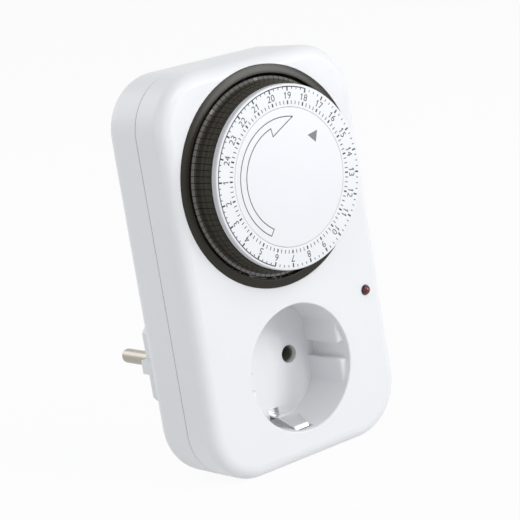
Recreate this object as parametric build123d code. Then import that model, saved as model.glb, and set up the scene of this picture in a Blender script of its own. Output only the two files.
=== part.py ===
from build123d import *
from math import cos, pi, radians, sin
import os

# Plug-in timer switch: a mechanical 24 hour timer between a wall socket and an appliance plug.
#
# Millimetres. X is to the right seen from the front, Y into the wall, Z up. The origin is the centre
# of the plug's pin face, on the plug's axis. Depths are counted from the case's front face into the
# case, so a negative depth stands proud of that face. The dial's radii grow outwards from its drum,
# and the case is as wide and as high as the dial and the socket recess in it need.

# ---- clearances and sheet metal ----------------------------------------------------------------------
loose_gap = 0.3
fitting_gap = 0.1
running_gap = 0.05
strip_thickness = 0.6
strip_bend_r = 0.9

# ---- case --------------------------------------------------------------------------------------------
case_side_margin = 3.8
case_top_margin = 2.4
case_bottom_margin = 9.3
recess_to_dial = 6.5
case_depth = 28.3
case_corner_r = 17.4
front_edge_r = 4.15
back_edge_r = 4.8
parting_depth = 12.6
wall = 2.4
parting_chamfer = 0.25
tongue_thickness = 0.9
tongue_length = 1.4

# ---- screws ------------------------------------------------------------------------------------------
screw_corner_offset = 6.7
screw_boss_r = 3.4
screw_rear_boss_r = 4.2
screw_r = 1.4
screw_head_r = 2.7
screw_head_height = 1.6
screw_head_seat = 3.5
screw_tip_room = 1.0
small_screw_r = 1.0
small_screw_head_r = 1.9
small_screw_head_height = 1.2

# ---- plug: standard earthed plug with 4.8 mm pins ----------------------------------------------------
pin_r = 2.4
pin_length = 19.0
pin_spacing = 19.0
pin_tip_r = 1.5
pin_shank_r = 2.0
pin_flange_r = 3.2
pin_flange_thickness = 1.4
pin_shank_length = 7.5
pin_rivet_r = 1.1
pin_rivet_head_r = 1.5
plug_boss_r = 18.5
plug_boss_length = 17.5
plug_boss_edge = 0.8
plug_flat_depth = 3.5
plug_key_inset = 1.3
plug_key_half = 2.3
plug_wall = 2.2
plug_face_wall = 3.4
boss_flange_thickness = 1.6
plinth_step = 4.3
plinth_length = 15.9
plinth_edge_r = 2.5
plinth_flange_reach = 1.6
plinth_flange_thickness = 1.4
earth_channel_half = 3.0
earth_channel_depth = 1.3
earth_arm_half = 2.4
earth_arm_thickness = 0.8

# ---- socket recess -----------------------------------------------------------------------------------
socket_rise = 1.0
recess_r = 19.8
recess_depth = 17.5
recess_wall = 1.8
recess_floor = 1.8
recess_edge_r = 0.4
key_block_reach = 2.7
key_groove_half = 2.6
key_block_half = 10.2
key_block_start = 1.8
key_block_edge_r = 1.1
entry_hole_r = 2.9
earth_slot_half = 1.9
earth_slot_height = 3.4
earth_slot_inset = 1.2
earth_groove_half = 3.0
earth_groove_start = 2.5
earth_groove_depth = 1.0
earth_clip_half = 1.7
earth_tab_half = 2.5
earth_tab_length = 10.4
earth_clip_front = 3.8
earth_clip_mouth_proud = 0.1
earth_clip_apex_depth = 8.8
earth_clip_apex_drop = 4.4
earth_clip_heel_depth = 15.2
sleeve_wall = 0.55
sleeve_length = 18.0
sleeve_slit = 1.0
live_strip_rise = 4.5
link_half = 2.5

# ---- dial drum and the rings round it ----------------------------------------------------------------
segment_count = 96
quarters_of_day = 4
midnight_angle = 156.0
drum_r = 27.0
drum_thickness = 3.0
drum_back_wall = 1.0
drum_rise = 7.2
window_inset = 0.4
gear_reach = 1.8
web_gap = 1.0
web_thickness = 2.0
scale_overhang = 0.9
scale_inner_lip = 3.05
scale_rise = 9.2
scale_thickness = 1.2
scale_edge = 0.4
disc_gap = 0.25
centre_pin_r = 1.45
centre_pin_length = 4.7
hub_r = 4.0
hub_shoulder_r = 6.2
hub_spigot_r = 2.5
wheel_hub_r = 6.6
wheel_hub_rise = 2.0
clip_thickness = 0.7
clip_groove_r = 3.3
clip_r = 6.0
collar_clearance = 0.7
collar_thickness = 1.4
collar_flange = 1.4
collar_rebate = 0.8
collar_inner_rise = 0.6
collar_outer_rise = 0.1
collar_sleeve_end = 3.6

# ---- segments: 96 quarter-hour slides round the drum -------------------------------------------------
segment_travel = 3.0
finger_gap = 0.25
finger_side_gap = 0.15
finger_top_thickness = 0.95
finger_step = 0.35
finger_shoulder_reach = 1.4
finger_foot_rise = -1.0
finger_shoulder_rise = 0.3
finger_bevel = 0.3
finger_low_band = 3.2
finger_high_band = 5.0
stem_half = 0.5
slot_gap = 0.06
stem_gap = 0.15
stem_rise = 4.0
stem_neck_end = 2.0
foot_inset = 0.5

# ---- mechanism plate, gear train and motor -----------------------------------------------------------
gear_plate_gap = 0.9
plate_thickness = 1.5
plate_side_gap = 4.2
plate_recess_gap = 5.4
plate_top_gap = 14.3
plate_corner_r = 12.0
plate_cut_gap = 0.5
plate_cut_rise = 4.9
plate_post_r = 3.0
left_post_x = -26.0
left_post_rise = 10.9
right_post_x = 18.0
right_post_rise = 16.9
low_post_x = 5.0
low_post_inset = 4.0
pinion_teeth = 12
reduction_teeth = 48
train_module = 0.5
arbor_r = 1.0
arbor_collar_r = 1.9
arbor_head_thickness = 0.8
reduction_angle = -125.0
reduction_wheel_gap = 0.4
reduction_wheel_thickness = 1.4
motor_r = 19.0
motor_x = -1.0
motor_below_dial = 1.1
motor_rear_gap = 0.7
motor_edge_r = 1.5
motor_ear_reach = 22.0
motor_ear_r = 3.0
motor_ear_angle = 30.0
motor_ear_thickness = 0.8

# ---- switch ------------------------------------------------------------------------------------------
lever_offset = 0.4
lever_width = 5.0
lever_nose_rise = 0.6
lever_thickness = 2.4
lever_pivot_drop = 15.1
lever_top_rise = 3.5
lever_bottom_drop = 34.6
lever_boss_r = 1.8
lever_nose_half = 2.1
lever_lug_reach = 3.6
lever_lug_thickness = 1.2
lever_lug_rise = 7.0
lever_lug_height = 5.0
foot_clearance = 0.3
contact_drop = 32.6
contact_r = 1.9
contact_height = 0.8
contact_gap = 1.8
blade_thickness = 0.5
blade_half = 2.0
bracket_thickness = 0.8
bracket_half_z = 3.0
bracket_rivet_offset = 6.7
bracket_start_offset = 8.9
rivet_head = 0.6
override_travel = 4.0
wedge_gap = 1.6
wedge_slope = 0.2
wedge_bottom_gap = 0.4
wedge_top_gap = 1.0
wedge_side_gap = 0.5

# ---- override slide on the right side ----------------------------------------------------------------
knob_height = 6.0
knob_depth_size = 4.4
knob_depth = 8.0
knob_reach = 1.8
knob_rib_depth = 0.5
knob_rib_half = 0.35
slide_thickness = 1.7
slide_front_reach = 3.8
slide_parting_gap = 0.4
slide_top_reach = 1.5
slide_bottom_reach = 1.0

# ---- lamp --------------------------------------------------------------------------------------------
lamp_side_gap = 7.55
lamp_above_socket = 16.75
lens_r = 1.6
lens_rise = 1.3
lens_flange_r = 2.6
lens_flange_thickness = 0.9
lamp_r = 2.0
lamp_length = 8.7
lead_r = 0.35
lead_length = 5.5
resistor_r = 1.2
resistor_length = 6.5
resistor_drop = 5.0
resistor_wire_length = 18.0

# ---- derived radii of the dial -----------------------------------------------------------------------
drum_inner_r = drum_r - drum_thickness
slot_inner_r = drum_inner_r + drum_back_wall
window_outer_r = drum_r - window_inset
stem_inner_r = slot_inner_r + stem_gap
finger_inner_r = drum_r + finger_gap
finger_top_r = finger_inner_r + finger_top_thickness
finger_step_r = finger_top_r + finger_step
finger_r = finger_step_r + finger_step
finger_shoulder_r = finger_r + finger_shoulder_reach
finger_half = pi * finger_inner_r / segment_count - finger_side_gap
collar_inner_r = finger_shoulder_r + collar_clearance
collar_sleeve_r = collar_inner_r + collar_thickness
collar_r = collar_sleeve_r + collar_flange
scale_r = drum_r + scale_overhang
scale_inner_r = drum_inner_r - scale_inner_lip
centre_disc_r = scale_inner_r - disc_gap
pitch_angle = 360.0 / segment_count
dial_gear_r = drum_r + gear_reach
dial_module = 2 * dial_gear_r / segment_count
dial_pinion_r = pinion_teeth * dial_module / 2

# ---- derived heights ---------------------------------------------------------------------------------
socket_z = socket_rise
dial_z = socket_z + recess_r + recess_to_dial + collar_r
case_bottom_z = socket_z - recess_r - case_bottom_margin
case_top_z = dial_z + collar_r + case_top_margin
case_width = 2 * (collar_r + case_side_margin)
case_height = case_top_z - case_bottom_z
case_mid_z = (case_top_z + case_bottom_z) / 2
plate_bottom_z = socket_z + recess_r + recess_wall + plate_recess_gap
plate_top_z = case_top_z - plate_top_gap
plate_half_width = case_width / 2 - wall - plate_side_gap
lever_z = dial_z - lever_pivot_drop
lug_bottom = lever_z + lever_lug_rise
lug_top = lug_bottom + lever_lug_height
contact_z = dial_z - contact_drop
knob_z = lever_z
motor_z = dial_z - motor_below_dial
lamp_x = case_width / 2 - lamp_side_gap
lamp_z = socket_z + lamp_above_socket
screw_x = case_width / 2 - case_corner_r + screw_corner_offset
screw_half_z = case_height / 2 - case_corner_r + screw_corner_offset
screw_places = [(side * screw_x, case_mid_z + end * screw_half_z) for side in (-1, 1) for end in (-1, 1)]
plate_posts = [(left_post_x, dial_z + left_post_rise), (right_post_x, dial_z + right_post_rise),
               (low_post_x, plate_bottom_z + low_post_inset)]

# ---- derived depths ----------------------------------------------------------------------------------
screw_hole_near = 2 * wall
screw_seat = case_depth - screw_head_seat
screw_length = screw_seat - screw_hole_near - screw_tip_room
plug_reach = plinth_length + plug_boss_length
front_y = -(plug_reach + case_depth)
inner_back = case_depth - wall
plinth_back = case_depth + plinth_length
plinth_floor = plinth_back - wall
plug_face = case_depth + plug_reach
web_near = segment_travel - finger_foot_rise + web_gap
web_far = web_near + web_thickness
stem_end = web_far - foot_inset
pushed_stem_end = stem_end + segment_travel
nose_depth = pushed_stem_end + foot_clearance
lever_near = nose_depth + lever_nose_rise
lever_pivot_depth = lever_near + lever_thickness / 2
reduction_wheel_near = pushed_stem_end + reduction_wheel_gap
reduction_wheel_far = reduction_wheel_near + reduction_wheel_thickness
plate_near = reduction_wheel_far + gear_plate_gap
plate_far = plate_near + plate_thickness
moving_face = lever_near - blade_thickness - contact_height
fixed_face = moving_face - contact_gap
fixed_arm_far = fixed_face - contact_height
wedge_near = web_far + wedge_gap
sleeve_near = recess_depth + recess_floor + fitting_gap
sleeve_far = sleeve_near + sleeve_length
pin_shoulder = plug_face - pin_shank_length
lens_far = wall + fitting_gap + lens_flange_thickness
lamp_near = lens_far + loose_gap

# ---- derived places of the plug, the contacts, the gears and the lever -------------------------------
pin_x = pin_spacing / 2
plinth_r = plug_boss_r + plinth_step
plinth_inner_r = plinth_r - wall
plug_flat_x = plug_boss_r - plug_flat_depth
plug_key_x = plug_boss_r - plug_key_inset
earth_floor = plug_boss_r - earth_channel_depth
earth_slot_far = recess_r - earth_slot_inset
earth_slot_near = earth_slot_far - earth_slot_height
earth_clip_level = (earth_slot_near + earth_slot_far) / 2
sleeve_bore_r = pin_r + running_gap
sleeve_r = sleeve_bore_r + sleeve_wall
neutral_level = socket_z - sleeve_r - strip_thickness / 2
live_level = socket_z + sleeve_r + live_strip_rise
reduction_reach = dial_gear_r + dial_pinion_r
reduction_x = reduction_reach * cos(radians(reduction_angle))
reduction_z = dial_z + reduction_reach * sin(radians(reduction_angle))
motor_pinion_reach = (reduction_teeth + pinion_teeth) * train_module / 2
motor_pinion_x = reduction_x - motor_pinion_reach * cos(radians(reduction_angle))
motor_pinion_z = reduction_z - motor_pinion_reach * sin(radians(reduction_angle))
lever_x = slot_inner_r + lever_offset
lever_left = lever_x - lever_width / 2
lever_right = lever_x + lever_width / 2
bracket_rivet_x = lever_x - bracket_rivet_offset
plate_cut_x = lever_left - loose_gap - bracket_thickness - plate_cut_gap


# ---- drawing helpers ---------------------------------------------------------------------------------
def slab(sketch, near, far):
    """Solid of a sketch in X and Z between two depths."""
    plane = Plane(origin=(0, front_y + near, 0), x_dir=(1, 0, 0), z_dir=(0, -1, 0))
    return extrude(plane * sketch, amount=near - far)


def rod(x, z, radius, near, far):
    """Round bar along Y between two depths."""
    return slab(Pos(x, z) * Circle(radius), near, far)


def tube(x, z, radius, bore_r, near, far):
    """Round tube along Y between two depths."""
    return slab(Pos(x, z) * (Circle(radius) - Circle(bore_r)), near, far)


def outline(points):
    """Filled polygon through the points."""
    return make_face(Polyline(*points, close=True))


def turned(profile, x, z):
    """Solid turned about an axis along Y; the profile is a list of (radius, depth)."""
    plane = Plane(origin=(x, front_y, z), x_dir=(1, 0, 0), z_dir=(0, 0, 1))
    return revolve(plane * outline(profile), Axis((x, 0, z), (0, 1, 0)), 360)


def box(x0, x1, near, far, z0, z1):
    """Block between two X, two depths and two Z."""
    middle = Pos((x0 + x1) / 2, front_y + (near + far) / 2, (z0 + z1) / 2)
    return middle * Box(x1 - x0, far - near, z1 - z0)


def side_plane(x):
    """Plane across X, drawn in depth and Z."""
    return Plane(origin=(x, front_y, 0), x_dir=(0, 1, 0), z_dir=(1, 0, 0))


def along_x(points, x0, x1):
    """Solid of a polygon of (depth, z) points, extruded along X."""
    return extrude(side_plane(x0) * outline(points), amount=x1 - x0)


def pin_along_x(depth, z, radius, x0, x1):
    """Round bar along X."""
    return extrude(side_plane(x0) * (Pos(depth, z) * Circle(radius)), amount=x1 - x0)


def strip_along_x(points, thickness, bend_r, x0, x1):
    """Bent sheet-metal strip whose centre line is drawn in depth and Z; its width lies along X."""
    centre_line = FilletPolyline(*points, radius=bend_r)
    return extrude(side_plane(x0) * trace(centre_line, thickness), amount=x1 - x0)


def strip_along_z(points, thickness, bend_r, z0, z1):
    """Bent sheet-metal strip whose centre line is drawn in X and depth; its width lies along Z."""
    plane = Plane(origin=(0, front_y, z0), x_dir=(1, 0, 0), z_dir=(0, 0, 1))
    return extrude(plane * trace(FilletPolyline(*points, radius=bend_r), thickness), amount=z1 - z0)


def gear_outline(teeth, module, tooth_angle=0.0):
    """Spur gear outline with straight-sided teeth, one of which points along tooth_angle."""
    pitch_r = teeth * module / 2
    tip_r = pitch_r + module
    root_r = pitch_r - 1.25 * module
    step = 360.0 / teeth
    points = []
    for tooth in range(teeth):
        for radius, share in ((root_r, -0.34), (tip_r, -0.11), (tip_r, 0.11), (root_r, 0.34)):
            angle = radians(tooth_angle + (tooth + share) * step)
            points.append((radius * cos(angle), radius * sin(angle)))
    return outline(points)


def meshing_angle(other_teeth, other_tooth_angle, line_angle, teeth):
    """Angle of one tooth of a gear that meshes with another along line_angle, seen from the other."""
    other_step = 360.0 / other_teeth
    phase = ((line_angle - other_tooth_angle) / other_step) % 1.0
    return line_angle + 180.0 + (phase + 0.5) * 360.0 / teeth


# ---- case --------------------------------------------------------------------------------------------
def case_outline(inset=0.0):
    """Rounded rectangle of the case in X and Z, moved inwards by the inset."""
    rectangle = RectangleRounded(case_width - 2 * inset, case_height - 2 * inset, case_corner_r - inset)
    return Pos(0, case_mid_z) * rectangle


def key_blocks():
    """Guide blocks at both sides of the recess, in pairs with a groove between them."""
    outer_r = recess_r + recess_wall / 2
    blocks = Circle(outer_r) & Rectangle(2 * outer_r, 2 * key_block_half)
    blocks -= Rectangle(2 * (recess_r - key_block_reach), 2 * outer_r)
    blocks -= Rectangle(2 * outer_r, 2 * key_groove_half)
    blocks = slab(Pos(0, socket_z) * blocks, key_block_start, recess_depth)
    front_edges = blocks.edges().group_by(Axis.Y)[0].filter_by(GeomType.LINE)
    return fillet(front_edges, key_block_edge_r)


def knob_window():
    """Cut for the override knob and its travel in the right side wall."""
    half_depth = knob_depth_size / 2 + loose_gap
    return box(case_width / 2 - 2 * wall, case_width / 2 + wall,
               knob_depth - half_depth, knob_depth + half_depth,
               knob_z - knob_height / 2 - loose_gap, knob_z + knob_height / 2 + override_travel + loose_gap)


def across_socket(half_width, near, far, low, high):
    """The same block above and below the socket's axis, between two distances from it."""
    return [box(-half_width, half_width, near, far, *sorted((socket_z + side * low, socket_z + side * high)))
            for side in (-1, 1)]


def front_cover():
    """Front shell with the dial opening, the wall of the socket recess, the lamp hole and the knob slot."""
    shell = slab(case_outline(), 0, parting_depth)
    shell = fillet(shell.edges().group_by(Axis.Y)[0], front_edge_r)
    shell = chamfer(shell.edges().group_by(Axis.Y)[-1], parting_chamfer)
    shell -= slab(case_outline(wall), wall, parting_depth + wall)
    tongue = case_outline(wall - tongue_thickness) - case_outline(wall)
    shell += slab(tongue, parting_depth - wall, parting_depth + tongue_length)
    for x, z in screw_places:
        shell += rod(x, z, screw_boss_r, wall / 2, parting_depth)
        shell -= rod(x, z, screw_r + running_gap, screw_hole_near, parting_depth + wall)
    shell += rod(0, socket_z, recess_r + recess_wall, wall / 2, recess_depth)
    shell -= rod(0, socket_z, recess_r, -wall, recess_depth + wall)
    shell += key_blocks()
    shell -= across_socket(earth_groove_half, earth_groove_start, recess_depth + wall,
                           recess_r - wall, recess_r + earth_groove_depth)
    shell += slide_rail()
    shell -= rod(0, dial_z, collar_sleeve_r + fitting_gap, -wall, 2 * wall)
    shell -= rod(0, dial_z, collar_r + fitting_gap, -wall, collar_rebate)
    shell -= rod(lamp_x, lamp_z, lens_r + fitting_gap, -wall, 2 * wall)
    shell -= knob_window()
    rim = shell.edges().filter_by(GeomType.CIRCLE).filter_by(
        lambda edge: abs(edge.radius - recess_r) < 0.01).group_by(Axis.Y)[0]
    return fillet(rim, recess_edge_r)


def slide_rail():
    """Rail inside the front wall that keeps the override slide against the side wall."""
    inner = case_width / 2 - wall - slide_thickness - 2 * loose_gap
    bottom = knob_z - knob_height / 2 - override_travel
    return box(inner - wall / 2, inner, wall / 2, knob_depth - knob_depth_size / 2 - loose_gap,
               bottom, bottom + 2 * knob_height)


def socket_floor():
    """Floor of the socket recess, welded to its wall, with the pin entries and the earth clip slots."""
    floor = rod(0, socket_z, recess_r + recess_wall, recess_depth, recess_depth + recess_floor)
    for side in (-1, 1):
        floor -= rod(side * pin_x, socket_z, entry_hole_r, recess_depth - wall, sleeve_near)
    return floor - across_socket(earth_slot_half, recess_depth - wall, sleeve_near,
                                 earth_slot_near, earth_slot_far)


def plug_outline(inset=0.0):
    """Section of the plug boss: a circle with flat sides, drawn inwards by the inset."""
    return Circle(plug_boss_r - inset) & Rectangle(2 * (plug_flat_x - inset), 2 * plug_boss_r)


def earth_arm_cuts():
    """Channels for the plug's earth arms along the boss, with slots through its flange."""
    cuts = []
    slot_top = earth_floor + earth_arm_thickness + 2 * fitting_gap
    for side in (-1, 1):
        channel = sorted((side * earth_floor, side * plinth_r))
        cuts.append(box(-earth_channel_half, earth_channel_half, plinth_floor, plug_face + wall, *channel))
        slot = sorted((side * earth_floor, side * slot_top))
        cuts.append(box(-earth_arm_half - fitting_gap, earth_arm_half + fitting_gap,
                        plinth_floor - wall, plinth_back, *slot))
    return cuts


def rear_cover():
    """Rear shell with the round opening for the plinth, screw bosses and posts for the mechanism plate."""
    shell = slab(case_outline(), parting_depth, case_depth)
    shell = fillet(shell.edges().group_by(Axis.Y)[-1], back_edge_r)
    shell = chamfer(shell.edges().group_by(Axis.Y)[0], parting_chamfer)
    shell -= slab(case_outline(wall), parting_depth - wall, inner_back)
    shell -= slab(case_outline(wall - tongue_thickness - fitting_gap),
                  parting_depth - wall, parting_depth + tongue_length + fitting_gap)
    shell -= rod(0, 0, plinth_r + running_gap, inner_back - wall, case_depth + wall)
    for x, z in plate_posts:
        shell += rod(x, z, plate_post_r, plate_far, inner_back + wall / 2)
        shell -= rod(x, z, small_screw_r + running_gap, plate_far - wall, inner_back - wall)
    for x, z in screw_places:
        shell += rod(x, z, screw_rear_boss_r, parting_depth, inner_back + wall / 2)
        shell -= rod(x, z, screw_r + running_gap, parting_depth - wall, case_depth + wall)
        shell -= rod(x, z, screw_head_r + loose_gap, screw_seat, case_depth + wall)
    return shell


def plug_plinth():
    """Round pot in the rear cover's opening: its flange lies inside, and its floor holds the boss."""
    near = inner_back - plinth_flange_thickness
    pot = rod(0, 0, plinth_r, near, plinth_back)
    pot = fillet(pot.edges().group_by(Axis.Y)[-1], plinth_edge_r)
    pot += rod(0, 0, plinth_r + plinth_flange_reach, near, inner_back)
    pot -= rod(0, 0, plinth_inner_r, near - wall, plinth_floor)
    return pot - slab(boss_outline(-fitting_gap), plinth_floor - wall, plinth_back + wall)


def boss_outline(inset=0.0):
    """Outline of the plug boss with its side keys, drawn inwards by the inset."""
    key = Circle(plug_boss_r - inset) & Rectangle(2 * (plug_key_x - inset), 2 * (plug_key_half - inset))
    return plug_outline(inset) + key


def plug_boss():
    """Boss that carries the pins and the earth arms; its flange lies inside the plinth's floor."""
    boss = slab(boss_outline(), plinth_floor - running_gap, plug_face)
    boss = chamfer(boss.edges().group_by(Axis.Y)[-1], plug_boss_edge)
    boss += rod(0, 0, plinth_inner_r - loose_gap, plinth_floor - boss_flange_thickness, plinth_floor)
    boss -= slab(plug_outline(plug_wall), plinth_floor - 2 * wall, plug_face - plug_face_wall)
    boss -= earth_arm_cuts()
    for side in (-1, 1):
        boss -= rod(side * pin_x, 0, pin_r + running_gap, plinth_back, plug_face + wall)
    return boss


def cross_recessed_screw(x, z, radius, head_r, head_height, seat, length, toward):
    """Pan-head screw along Y; its head lies on the toward side of the seat depth."""
    head_depths = sorted((seat, seat + toward * head_height))
    shank_depths = sorted((seat, seat - toward * length))
    screw = rod(x, z, head_r, *head_depths) + rod(x, z, radius, *shank_depths)
    crown = seat + toward * head_height
    slot_depths = sorted((crown - toward * head_height / 2, crown + toward * head_height))
    return screw - box(x - head_r * 0.6, x + head_r * 0.6, *slot_depths, z - head_r * 0.14, z + head_r * 0.14)


def cover_screws():
    """Four screws that hold the rear cover to the bosses of the front cover."""
    return [cross_recessed_screw(x, z, screw_r, screw_head_r, screw_head_height, screw_seat,
                                 screw_length, 1)
            for x, z in screw_places]


# ---- dial --------------------------------------------------------------------------------------------
def dial_collar():
    """Dark ring that lines the dial opening, with a flange in a rebate of the front face."""
    profile = [(collar_inner_r, -collar_inner_rise), (collar_r, -collar_outer_rise),
               (collar_r, collar_rebate), (collar_sleeve_r, collar_rebate),
               (collar_sleeve_r, collar_sleeve_end), (collar_inner_r, collar_sleeve_end)]
    return turned(profile, 0, dial_z)


def slot_pattern(inner_r, outer_r, half_width):
    """Radial slots of the drum, one for each segment."""
    slot = Pos((inner_r + outer_r) / 2, 0) * Rectangle(outer_r - inner_r, 2 * half_width)
    angles = [midnight_angle + (index + 0.5) * pitch_angle for index in range(segment_count)]
    return [Rot(0, 0, angle) * slot for angle in angles]


def dial_wheel():
    """Drum that carries the segments, with a gear rim round its web and a hub in the middle."""
    slot_half = stem_half + slot_gap
    drum = Circle(drum_r) - Circle(drum_inner_r)
    drum -= slot_pattern(slot_inner_r, drum_r + 1, slot_half)
    web = gear_outline(segment_count, dial_module) - Circle(hub_r + running_gap)
    web -= slot_pattern(slot_inner_r, window_outer_r, slot_half)
    hub = Circle(wheel_hub_r) - Circle(hub_r + running_gap)
    at_dial = Pos(0, dial_z)
    wheel = slab(at_dial * web, web_near, web_far)
    wheel += slab(at_dial * drum, -drum_rise, web_near)
    return wheel + slab(at_dial * hub, -wheel_hub_rise, web_near)


def scale_ring():
    """White ring with the hour scale, seated on the drum over the segments' ends."""
    profile = [(scale_inner_r, -scale_rise), (scale_r - scale_edge, -scale_rise),
               (scale_r, scale_edge - scale_rise), (scale_r, -drum_rise), (drum_inner_r, -drum_rise),
               (drum_inner_r, scale_thickness - scale_rise), (scale_inner_r, scale_thickness - scale_rise)]
    return turned(profile, 0, dial_z)


def segment():
    """One quarter-hour slide: a stepped finger outside the drum and a stem in its slot."""
    top = -drum_rise + fitting_gap
    shoulder_top = -finger_shoulder_rise - finger_shoulder_reach / 2
    finger = [(finger_inner_r, -finger_foot_rise), (finger_shoulder_r, -finger_foot_rise),
              (finger_shoulder_r, -finger_shoulder_rise), (finger_r, shoulder_top),
              (finger_r, -finger_low_band), (finger_step_r, -finger_low_band - finger_bevel),
              (finger_step_r, -finger_high_band), (finger_top_r, -finger_high_band - finger_bevel),
              (finger_top_r, top), (finger_inner_r, top)]
    window_side_r = window_outer_r - fitting_gap
    stem = [(stem_inner_r, -stem_rise), (finger_inner_r + fitting_gap, -stem_rise),
            (finger_inner_r + fitting_gap, -finger_foot_rise), (window_side_r, stem_neck_end),
            (window_side_r, stem_end), (stem_inner_r, stem_end)]
    plane = Plane(origin=(0, front_y, dial_z), x_dir=(1, 0, 0), z_dir=(0, 0, 1))
    body = extrude(plane * outline(finger), amount=finger_half, both=True)
    return body + extrude(plane * outline(stem), amount=stem_half, both=True)


def segment_group(quarter):
    """Segments of six hours of the day."""
    axis = Axis((0, 0, dial_z), (0, 1, 0))
    per_quarter = segment_count // quarters_of_day
    first = quarter * per_quarter
    angles = [midnight_angle + (index + 0.5) * pitch_angle for index in range(first, first + per_quarter)]
    one = segment()
    return [one.rotate(axis, -angle) for angle in angles]


def centre_disc():
    """Fixed printed disc inside the scale ring, with a pin into the hub."""
    back = scale_thickness - scale_rise
    profile = [(0, -scale_rise), (centre_disc_r, -scale_rise), (centre_disc_r, back),
               (centre_pin_r, back), (centre_pin_r, back + centre_pin_length), (0, back + centre_pin_length)]
    return turned(profile, 0, dial_z)


def dial_hub():
    """Fixed post that the dial turns on: shoulder, journal, clip groove and a bore for the disc's pin."""
    front = scale_thickness - scale_rise
    bore_r = centre_pin_r + fitting_gap
    bore_end = front + centre_pin_length + loose_gap
    groove = -wheel_hub_rise - fitting_gap
    shoulder = web_far + fitting_gap
    profile = [(bore_r, front), (hub_r, front), (hub_r, groove - clip_thickness - running_gap),
               (clip_groove_r, groove - clip_thickness - running_gap), (clip_groove_r, groove),
               (hub_r, groove), (hub_r, shoulder), (hub_shoulder_r, shoulder),
               (hub_shoulder_r, plate_near), (hub_spigot_r, plate_near), (hub_spigot_r, plate_far),
               (0, plate_far), (0, bore_end), (bore_r, bore_end)]
    return turned(profile, 0, dial_z)


def hub_clip():
    """Open retaining ring in the hub's groove."""
    ring = Circle(clip_r) - Circle(clip_groove_r + running_gap)
    ring -= Pos(0, -clip_r) * Rectangle(1.6 * clip_groove_r, 2 * clip_r)
    far = -wheel_hub_rise - fitting_gap - running_gap / 2
    return slab(Pos(0, dial_z) * ring, far - clip_thickness, far)


# ---- mechanism ---------------------------------------------------------------------------------------
def ear_places():
    """Centres of the motor's two fixing ears."""
    reach_x = motor_ear_reach * cos(radians(motor_ear_angle))
    reach_z = motor_ear_reach * sin(radians(motor_ear_angle))
    return [(motor_x + side * reach_x, motor_z + side * reach_z) for side in (-1, 1)]


def mechanism_plate():
    """Plate on the rear cover's posts that carries the dial hub, the gears, the motor and the lever."""
    height = plate_top_z - plate_bottom_z
    plate = RectangleRounded(2 * plate_half_width, height, plate_corner_r)
    plate = Pos(0, plate_bottom_z + height / 2) * plate
    cut_top = dial_z + plate_cut_rise
    cut = Rectangle(2 * plate_half_width, 2 * (cut_top - plate_bottom_z))
    plate -= Pos(plate_cut_x + plate_half_width, plate_bottom_z) * cut
    plate -= Pos(0, dial_z) * Circle(hub_spigot_r + running_gap)
    plate -= Pos(reduction_x, reduction_z) * Circle(arbor_r + running_gap)
    plate -= Pos(motor_pinion_x, motor_pinion_z) * Circle((pinion_teeth / 2 + 2) * train_module)
    for x, z in plate_posts + ear_places():
        plate -= Pos(x, z) * Circle(small_screw_r + running_gap)
    plate -= Pos(bracket_rivet_x, lever_z) * Circle(small_screw_r + running_gap)
    return slab(plate, plate_near, plate_far)


def plate_screws():
    """Three screws that hold the mechanism plate to the posts."""
    return [cross_recessed_screw(x, z, small_screw_r, small_screw_head_r, small_screw_head_height,
                                 plate_near, 3 * plate_thickness, -1) for x, z in plate_posts]


def reduction_gear():
    """Compound gear: its pinion drives the dial and its wheel is driven by the motor."""
    bore = Circle(arbor_r + running_gap)
    line = reduction_angle
    pinion = gear_outline(pinion_teeth, dial_module, meshing_angle(segment_count, 0, line, pinion_teeth))
    wheel = gear_outline(reduction_teeth, train_module)
    place = Pos(reduction_x, reduction_z)
    gear = slab(place * (pinion - bore), web_near - loose_gap, reduction_wheel_near)
    return gear + slab(place * (wheel - bore), reduction_wheel_near, reduction_wheel_far)


def gear_arbor():
    """Fixed pin of the reduction gear, with a collar on the plate and a head that keeps the gear on."""
    head_far = web_near - loose_gap - fitting_gap
    head_near = head_far - arbor_head_thickness
    collar_near = reduction_wheel_far + fitting_gap
    profile = [(0, head_near), (arbor_collar_r, head_near), (arbor_collar_r, head_far),
               (arbor_r, head_far), (arbor_r, collar_near),
               (arbor_collar_r, collar_near), (arbor_collar_r, plate_near),
               (arbor_r, plate_near), (arbor_r, plate_far), (0, plate_far)]
    return turned(profile, reduction_x, reduction_z)


def motor_can():
    """Flat synchronous motor with its own sealed gear train, behind the plate."""
    far = inner_back - motor_rear_gap
    can = rod(motor_x, motor_z, motor_r, plate_far, far)
    can = fillet(can.edges().group_by(Axis.Y)[-1], motor_edge_r)
    for x, z in ear_places():
        ear = make_hull([edge for circle in (Pos(x, z) * Circle(motor_ear_r),
                                             Pos(motor_x, motor_z) * Circle(2 * motor_ear_r))
                         for edge in circle.edges()])
        can += slab(ear, plate_far, plate_far + motor_ear_thickness)
        can -= rod(x, z, small_screw_r + running_gap, plate_far - wall, plate_far + wall)
    return can - rod(motor_pinion_x, motor_pinion_z, arbor_r + running_gap, plate_near, plate_far + wall)


def motor_screws():
    """Two screws through the motor's ears into the plate."""
    return [cross_recessed_screw(x, z, small_screw_r, small_screw_head_r, small_screw_head_height,
                                 plate_far + motor_ear_thickness, plate_thickness + motor_ear_thickness, 1)
            for x, z in ear_places()]


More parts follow.
